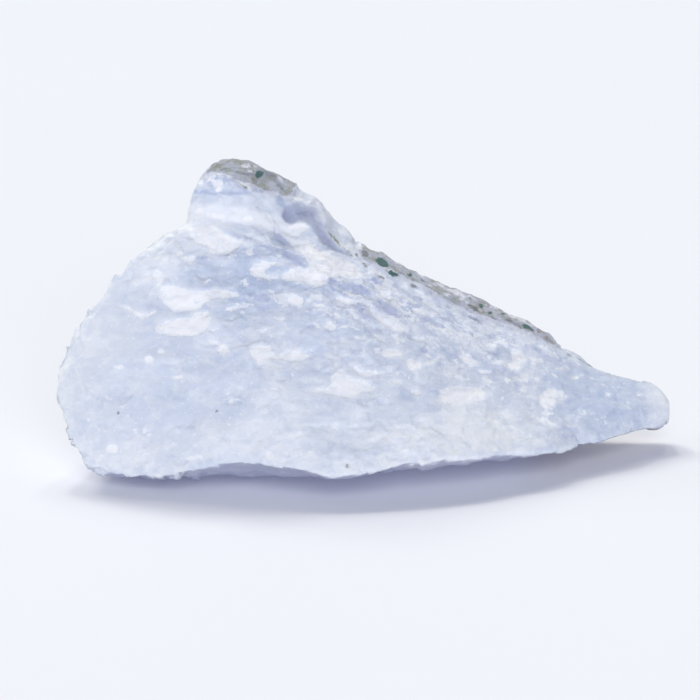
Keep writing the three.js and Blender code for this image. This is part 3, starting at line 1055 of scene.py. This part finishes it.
def addRind(tree, colour, place, axes, warped, upwards):  # and the film that creeps from it
    lumps = noise(tree, place, 1.6, 4, 0.65)
    edge = total(tree, field(tree, "rindField"), spread(tree, lumps, 0.45))
    filmReach = ramp(tree, axes[1], *stoneFinish["filmReach"])
    filmEdge = less(tree, total(tree, edge, ripple(tree, 0.6, place, 0.8, 3)), filmReach)
    creeping = product(tree, ramp(tree, filmEdge, 0.25, -0.15), stoneFinish["film"])
    colour = over(tree, colour, "rindFilm", creeping)

    olive = patches(tree, warped, 0.4, 4, 0.62, 0.40, 0.60)
    rindColour = over(tree, stoneFinish["colours"]["rindGrey"], "rindOlive", olive)
    brown = patches(tree, moved(tree, warped, 31, 0, 0), 0.22, 4, 0.6, 0.43, 0.62)
    brown = product(tree, brown, ramp(tree, axes[2], *stoneFinish["brown"]))
    rindColour = over(tree, rindColour, "rindBrown", brown)
    speckle = patches(tree, place, 1.7, 4, 0.7, 0.58, 0.70)
    rindColour = over(tree, rindColour, "rindDark", product(tree, speckle, stoneFinish["speckle"]))
    film = patches(tree, moved(tree, warped, 0, 43, 0), 0.5, 5, 0.7, 0.50, 0.62)
    rindColour = over(tree, rindColour, "rindFilm", product(tree, film, stoneFinish["film"]))
    # lilac patches on the rind, only where it faces up
    lilacOnTop = patches(tree, moved(tree, warped, 0, 0, 23), 0.8, 3, 0.6, 0.40, 0.56, 0.15, 0.75)
    lilacOnTop = product(tree, ramp(tree, upwards, 0.35, 0.9), lilacOnTop)
    rindColour = over(tree, rindColour, "rindLilac", lilacOnTop)
    green = patches(tree, moved(tree, warped, 0, 0, 57), 0.7, 3, 0.5, 0.64, 0.68)
    green = product(tree, green, ramp(tree, axes[1], *stoneFinish["green"]))
    rindColour = over(tree, rindColour, "rindGreen", green)
    rindMask = ramp(tree, edge, 0.05, -0.05)
    return blend(tree, rindMask, colour, rindColour), rindMask, lumps


def addShadeAndStain(tree, colour, axes, outward, upwards):  # painted shade on the underside, a brown stain under the tip, painted shade on faces lit by the back-left lamp
    # painted shade: faces that look down turn violet-grey
    colour = over(tree, colour, "undersideShade", ramp(tree, upwards, -0.3, -0.75, 0.0, 0.5))
    stained = product(tree, ramp(tree, upwards, -0.6, -0.9), ramp(tree, axes[0], *stoneFinish["stain"]))
    colour = over(tree, colour, "rindBrown", stained)
    # painted shade: faces that the back-left lamp lights are darkened
    lampSideShade = vec(tree, "DOT_PRODUCT", outward, stoneFinish["backLeftLampSide"])
    darker = vec(tree, "MULTIPLY", colour, stoneFinish["colours"]["lampSideShade"][:3])
    return blend(tree, ramp(tree, lampSideShade, 0.15, 0.85, 0.0, 0.5), colour, darker)


def makeStoneMaterial():
    material = bpy.data.materials.new("chalcedony")
    material.use_nodes = True
    tree = material.node_tree
    shader = tree.nodes["Principled BSDF"]
    place = vec(tree, "SCALE", addNode(tree, "ShaderNodeTexCoord").outputs["Object"], scale=1 / mm)
    axes = split(tree, place)
    outward = addNode(tree, "ShaderNodeNewGeometry").outputs["Normal"]
    upwards = split(tree, outward)[2]
    warped = warp(tree, place, 1.2, 3, 0.7)
    flat = vec(tree, "MULTIPLY", warped, (0.6, 1.0, 1.0))
    grain = noise(tree, place, 3.0, 3, 0.7)

    colour = bodyColour(tree, warped, flat, grain)
    colour, white = addStreaks(tree, colour, place, warped, flat, grain)
    colour, white = addFlakes(tree, colour, white, place, flat)
    colour = addKnob(tree, colour, place, axes, warped, flat)
    colour = addGrooveShade(tree, colour, place)
    # the first kind is painted shade in the groove
    colour = spotted(tree, colour, place, "hollow", "violet", "bright")
    colour, rindMask, lumps = addRind(tree, colour, place, axes, warped, upwards)
    colour = spotted(tree, colour, place, "film", "olive", "slate", "dark", "green")
    colour = addShadeAndStain(tree, colour, axes, outward, upwards)
    setInput(tree, shader, "Base Color", colour)

    # gloss and small relief
    base, grainGloss, whiteGloss, rindGloss = stoneFinish["roughness"]
    gloss = total(tree, base, spread(tree, grain, grainGloss), product(tree, white, whiteGloss))
    gloss = calc(tree, "ADD", gloss, product(tree, rindMask, rindGloss), clamp=True)
    setInput(tree, shader, "Roughness", gloss)
    small = total(
        tree,
        tiltedCells(tree, warped, *stoneFinish["relief"]),
        product(tree, noise(tree, place, 5.0, 3, 0.7), 0.04),
        product(tree, rindMask, lumps, 0.5),
    )
    bump = addNode(
        tree, "ShaderNodeBump", {"Strength": stoneFinish["bump"], "Distance": mm, "Height": small}
    )
    setInput(tree, shader, "Normal", bump.outputs[0])
    for name, value in stoneFinish["shader"].items():
        setInput(tree, shader, name, value)
    return material


def fade(values, start, width):  # 1 below the start less the width, 0 above the start
    return np.clip((start - values) / width, 0, 1)


stoneMaterial = makeStoneMaterial()
blankObject = makeBlank()
fineMesh = makeFineMesh(blankObject)
print("fine mesh", len(fineMesh.vertices), "points")

points = readVectors(fineMesh, "co") / mm
towards = np.array(camera["place"]) / mm - points
towards /= np.linalg.norm(towards, axis=1)[:, None]
facing = (readVectors(fineMesh, "normal") * towards).sum(1)
places = planePlaces(points)
front = np.clip(facing * 5, 0, 1)
flecked = np.where(facing > 0, areaSum(places, fleckAreas) * front, 0)
rim = fade(np.abs(facing), *stone["rimTurn"]) * fade(places[:, 0], *stone["rimPlace"])
fields = {
    "across": places[:, 0],
    "up": places[:, 1],
    "towards": facing,
    "tone": areaSum(places, toneAreas) * front,
    "fleckAmount": flecked + 0.4 * (1 - front),
    "splinterAmount": areaSum(places, splinterAreas) * front,
    "knobAmount": fade(points[:, 0], *stone["knobSide"]),
    "calm": np.clip(areaSum(places, calmAreas), 0, 1) * (facing > -0.3),
    "rimAmount": rim * fade(points[:, 2], *stone["rimTop"]),
}
bpy.context.view_layer.update()
for kind, marks in spots.items():
    fields[kind + "Field"] = spotField(blankObject, points, marks)
for name, values in fields.items():
    storeFloats(fineMesh, name, values)
print("marks laid out on the stone")

stoneWork = newObject("stoneWork", fineMesh)
flakePlan = makePlan("flakePlan", flakeScars)
grooveShape = makeOutlineShape("grooveOutlines", grooveOutlines)
flakeShape = makeOutlineShape("flakeOutlines", flakeOutlines)
surfaceTree = makeSurfaceTree(blankObject, flakeShape, flakePlan, grooveShape, stoneMaterial)
surface = stoneWork.modifiers.new("surface", "NODES")
surface.node_group = surfaceTree
for item in surfaceTree.interface.items_tree:
    if item.in_out == "INPUT" and item.name in stone["inputs"]:
        surface[item.identifier] = stone["inputs"][item.name]
stoneMesh = plainMesh(stoneWork, "chalcedonyStone")
for name in ("across", "up", "towards", "isRind", "rimAmount"):  # only the surface needed them
    if name in stoneMesh.attributes:
        stoneMesh.attributes.remove(stoneMesh.attributes[name])
piece = newObject("chalcedony_stone", stoneMesh)
for helper in (stoneWork, flakeShape, flakePlan, grooveShape, blankObject):
    bpy.data.objects.remove(helper)
triangles = sum(len(face.vertices) - 2 for face in stoneMesh.polygons)
print("stone", len(stoneMesh.vertices), "points", triangles, "triangles")

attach(piece, "root")
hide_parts("chalcedony")


# table and light

studio = {
    "floorRadius": 1.2,  # m
    "floor": (0.695, 0.70, 0.695),
    "floorShade": 0.992,  # share of that in its darker clouds
    "floorShader": {  # the white table glows a little: painted light that lifts the shadows on it
        "Roughness": 0.9,
        "Emission Color": (0.090, 0.095, 0.15, 1.0),
        "Emission Strength": 1.0,
        "Specular IOR Level": 0.1,
    },
    "backdrop": tint(243, 246, 251),
    "dome": (0.15, 0.165, 0.205),
    "lights": {  # strength, colour, degrees across, lean to the right, lean to the front
        "fill": (1.77, (0.97, 0.99, 1.08), 44, 8, 60),
        "lowLeft": (0.40, (1.0, 1.0, 0.98), 20, -68, -8),
        "backRight": (0.35, (1.0, 0.99, 0.92), 8, 10, -38),
        "backMiddle": (0.90, (1.0, 0.99, 0.92), 8, -10, -38),
        "backLeft": (1.25, (1.0, 0.99, 0.92), 18, -30, -36),
        "backWide": (0.44, (1.0, 0.99, 0.94), 50, -15, -50),
    },
}

floorWork = bmesh.new()
bmesh.ops.create_circle(floorWork, cap_ends=True, segments=96, radius=studio["floorRadius"])
floorMesh = bpy.data.meshes.new("floor")
floorWork.to_mesh(floorMesh)
floorWork.free()
floor = newObject("floor", floorMesh)
floorMaterial = bpy.data.materials.new("tableTop")
floorMaterial.use_nodes = True
floorTree = floorMaterial.node_tree
floorShader = floorTree.nodes["Principled BSDF"]
floorPlace = addNode(floorTree, "ShaderNodeTexCoord").outputs["Object"]
floorClouds = ramp(floorTree, noise(floorTree, floorPlace, 14, 2), 0.3, 0.7)
low = tuple(studio["floorShade"] * c for c in studio["floor"]) + (1,)
high = studio["floor"] + (1,)
setInput(floorTree, floorShader, "Base Color", blend(floorTree, floorClouds, low, high))
for name, value in studio["floorShader"].items():
    setInput(floorTree, floorShader, name, value)
floorMesh.materials.append(floorMaterial)

world = bpy.data.worlds.new("dome")
scene.world = world
world.use_nodes = True
worldTree = world.node_tree
worldTree.nodes.clear()
light = addNode(worldTree, "ShaderNodeBackground", {"Color": studio["dome"] + (1,), "Strength": 1.0})
seen = addNode(worldTree, "ShaderNodeBackground", {"Color": studio["backdrop"], "Strength": 1.0})
isSeen = addNode(worldTree, "ShaderNodeLightPath").outputs["Is Camera Ray"]
pick = addNode(worldTree, "ShaderNodeMixShader", {0: isSeen, 1: light.outputs[0], 2: seen.outputs[0]})
addNode(worldTree, "ShaderNodeOutputWorld", {0: pick.outputs[0]})

for name, (strength, colour, across, right, front) in studio["lights"].items():
    lampData = bpy.data.lights.new(name, "SUN")
    lampData.energy = strength
    lampData.color = colour
    lampData.angle = math.radians(across)
    newObject(name, lampData).rotation_euler = (math.radians(front), math.radians(right), 0)

scene.view_settings.view_transform = "Standard"
scene.view_settings.look = "None"
scene.view_settings.exposure = 0
scene.view_settings.gamma = 1
print("table and light set")
